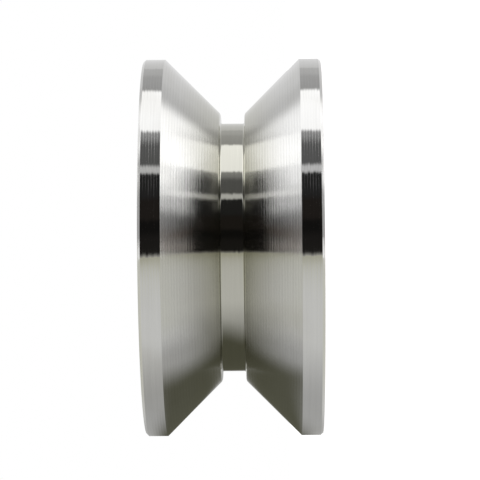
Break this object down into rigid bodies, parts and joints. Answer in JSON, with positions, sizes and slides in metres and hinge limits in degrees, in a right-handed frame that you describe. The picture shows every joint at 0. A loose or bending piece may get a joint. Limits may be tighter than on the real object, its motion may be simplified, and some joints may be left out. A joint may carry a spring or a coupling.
{
  "type": "v groove wheel",
  "caption": "Steel guide wheel with a V groove and relief slot, turning on sealed ball bearings that are held in its bore by retaining rings.",
  "frame": {"origin": "centre of the wheel, on its axle line, midway between the two end faces", "axes": "+Z along the axle, towards the end that holds bearing a; the wheel is round about Z and stands on its -Z end face; +X points to the gap in each retaining ring"},
  "size_m": [0.06, 0.06, 0.028],
  "materials": {
    "turned_steel": "turned stainless steel with fine feed marks, lightly polished",
    "bearing_steel": "ground and superfinished bearing steel",
    "ball_steel": "lapped to a mirror",
    "cage_steel": "pressed sheet steel, tumbled",
    "rivet_steel": "plain steel, formed heads",
    "seal_rubber": "moulded nitrile rubber, matte",
    "spring_steel": "phosphated and oiled spring steel",
    "sleeve_steel": "turned mild steel"
  },
  "bodies": {
    "axle_group": {"spacer_sleeve": "sleeve_steel", "bearing_a_inner_ring": "bearing_steel", "bearing_b_inner_ring": "bearing_steel"},
    "wheel": {"wheel_body": "turned_steel", "retaining_ring_a": "spring_steel", "retaining_ring_b": "spring_steel", "bearing_a_outer_ring": "bearing_steel", "bearing_a_outer_seal": "seal_rubber", "bearing_a_inner_seal": "seal_rubber", "bearing_b_outer_ring": "bearing_steel", "bearing_b_outer_seal": "seal_rubber", "bearing_b_inner_seal": "seal_rubber"},
    "cage_a": {"bearing_a_cage_outer_half": "cage_steel", "bearing_a_cage_inner_half": "cage_steel", "bearing_a_cage_rivets": "rivet_steel"},
    "ball_a_1": {"bearing_a_ball_1": "ball_steel"},
    "ball_a_2": {"bearing_a_ball_2": "ball_steel"},
    "ball_a_3": {"bearing_a_ball_3": "ball_steel"},
    "ball_a_4": {"bearing_a_ball_4": "ball_steel"},
    "ball_a_5": {"bearing_a_ball_5": "ball_steel"},
    "ball_a_6": {"bearing_a_ball_6": "ball_steel"},
    "ball_a_7": {"bearing_a_ball_7": "ball_steel"},
    "cage_b": {"bearing_b_cage_outer_half": "cage_steel", "bearing_b_cage_inner_half": "cage_steel", "bearing_b_cage_rivets": "rivet_steel"},
    "ball_b_1": {"bearing_b_ball_1": "ball_steel"},
    "ball_b_2": {"bearing_b_ball_2": "ball_steel"},
    "ball_b_3": {"bearing_b_ball_3": "ball_steel"},
    "ball_b_4": {"bearing_b_ball_4": "ball_steel"},
    "ball_b_5": {"bearing_b_ball_5": "ball_steel"},
    "ball_b_6": {"bearing_b_ball_6": "ball_steel"},
    "ball_b_7": {"bearing_b_ball_7": "ball_steel"}
  },
  "joints": [
    {"name": "wheel_spin", "type": "hinge", "parent": "axle_group", "child": "wheel", "pos_m": [0, 0, 0], "axis": [0, 0, 1], "continuous": true},
    {"name": "cage_a_spin", "type": "hinge", "parent": "axle_group", "child": "cage_a", "pos_m": [0, 0, 0.0065], "axis": [0, 0, 1], "continuous": true},
    {"name": "ball_a_1_spin", "type": "hinge", "parent": "cage_a", "child": "ball_a_1", "pos_m": [0.011, 0, 0.0065], "axis": [0, 0, 1], "continuous": true},
    {"name": "ball_a_2_spin", "type": "hinge", "parent": "cage_a", "child": "ball_a_2", "pos_m": [0.00686, 0.0086, 0.0065], "axis": [0, 0, 1], "continuous": true},
    {"name": "ball_a_3_spin", "type": "hinge", "parent": "cage_a", "child": "ball_a_3", "pos_m": [-0.00245, 0.01072, 0.0065], "axis": [0, 0, 1], "continuous": true},
    {"name": "ball_a_4_spin", "type": "hinge", "parent": "cage_a", "child": "ball_a_4", "pos_m": [-0.00991, 0.00477, 0.0065], "axis": [0, 0, 1], "continuous": true},
    {"name": "ball_a_5_spin", "type": "hinge", "parent": "cage_a", "child": "ball_a_5", "pos_m": [-0.00991, -0.00477, 0.0065], "axis": [0, 0, 1], "continuous": true},
    {"name": "ball_a_6_spin", "type": "hinge", "parent": "cage_a", "child": "ball_a_6", "pos_m": [-0.00245, -0.01072, 0.0065], "axis": [0, 0, 1], "continuous": true},
    {"name": "ball_a_7_spin", "type": "hinge", "parent": "cage_a", "child": "ball_a_7", "pos_m": [0.00686, -0.0086, 0.0065], "axis": [0, 0, 1], "continuous": true},
    {"name": "cage_b_spin", "type": "hinge", "parent": "axle_group", "child": "cage_b", "pos_m": [0, 0, -0.0065], "axis": [0, 0, 1], "continuous": true},
    {"name": "ball_b_1_spin", "type": "hinge", "parent": "cage_b", "child": "ball_b_1", "pos_m": [0.00991, 0.00477, -0.0065], "axis": [0, 0, 1], "continuous": true},
    {"name": "ball_b_2_spin", "type": "hinge", "parent": "cage_b", "child": "ball_b_2", "pos_m": [0.00245, 0.01072, -0.0065], "axis": [0, 0, 1], "continuous": true},
    {"name": "ball_b_3_spin", "type": "hinge", "parent": "cage_b", "child": "ball_b_3", "pos_m": [-0.00686, 0.0086, -0.0065], "axis": [0, 0, 1], "continuous": true},
    {"name": "ball_b_4_spin", "type": "hinge", "parent": "cage_b", "child": "ball_b_4", "pos_m": [-0.011, 0, -0.0065], "axis": [0, 0, 1], "continuous": true},
    {"name": "ball_b_5_spin", "type": "hinge", "parent": "cage_b", "child": "ball_b_5", "pos_m": [-0.00686, -0.0086, -0.0065], "axis": [0, 0, 1], "continuous": true},
    {"name": "ball_b_6_spin", "type": "hinge", "parent": "cage_b", "child": "ball_b_6", "pos_m": [0.00245, -0.01072, -0.0065], "axis": [0, 0, 1], "continuous": true},
    {"name": "ball_b_7_spin", "type": "hinge", "parent": "cage_b", "child": "ball_b_7", "pos_m": [0.00991, -0.00477, -0.0065], "axis": [0, 0, 1], "continuous": true}
  ],
  "couplings": [
    {"joint": "cage_a_spin", "follows": "wheel_spin", "ratio": 0.6353},
    {"joint": "ball_a_1_spin", "follows": "wheel_spin", "ratio": 1.7125},
    {"joint": "ball_a_2_spin", "follows": "wheel_spin", "ratio": 1.7125},
    {"joint": "ball_a_3_spin", "follows": "wheel_spin", "ratio": 1.7125},
    {"joint": "ball_a_4_spin", "follows": "wheel_spin", "ratio": 1.7125},
    {"joint": "ball_a_5_spin", "follows": "wheel_spin", "ratio": 1.7125},
    {"joint": "ball_a_6_spin", "follows": "wheel_spin", "ratio": 1.7125},
    {"joint": "ball_a_7_spin", "follows": "wheel_spin", "ratio": 1.7125},
    {"joint": "cage_b_spin", "follows": "wheel_spin", "ratio": 0.6353},
    {"joint": "ball_b_1_spin", "follows": "wheel_spin", "ratio": 1.7125},
    {"joint": "ball_b_2_spin", "follows": "wheel_spin", "ratio": 1.7125},
    {"joint": "ball_b_3_spin", "follows": "wheel_spin", "ratio": 1.7125},
    {"joint": "ball_b_4_spin", "follows": "wheel_spin", "ratio": 1.7125},
    {"joint": "ball_b_5_spin", "follows": "wheel_spin", "ratio": 1.7125},
    {"joint": "ball_b_6_spin", "follows": "wheel_spin", "ratio": 1.7125},
    {"joint": "ball_b_7_spin", "follows": "wheel_spin", "ratio": 1.7125}
  ]
}
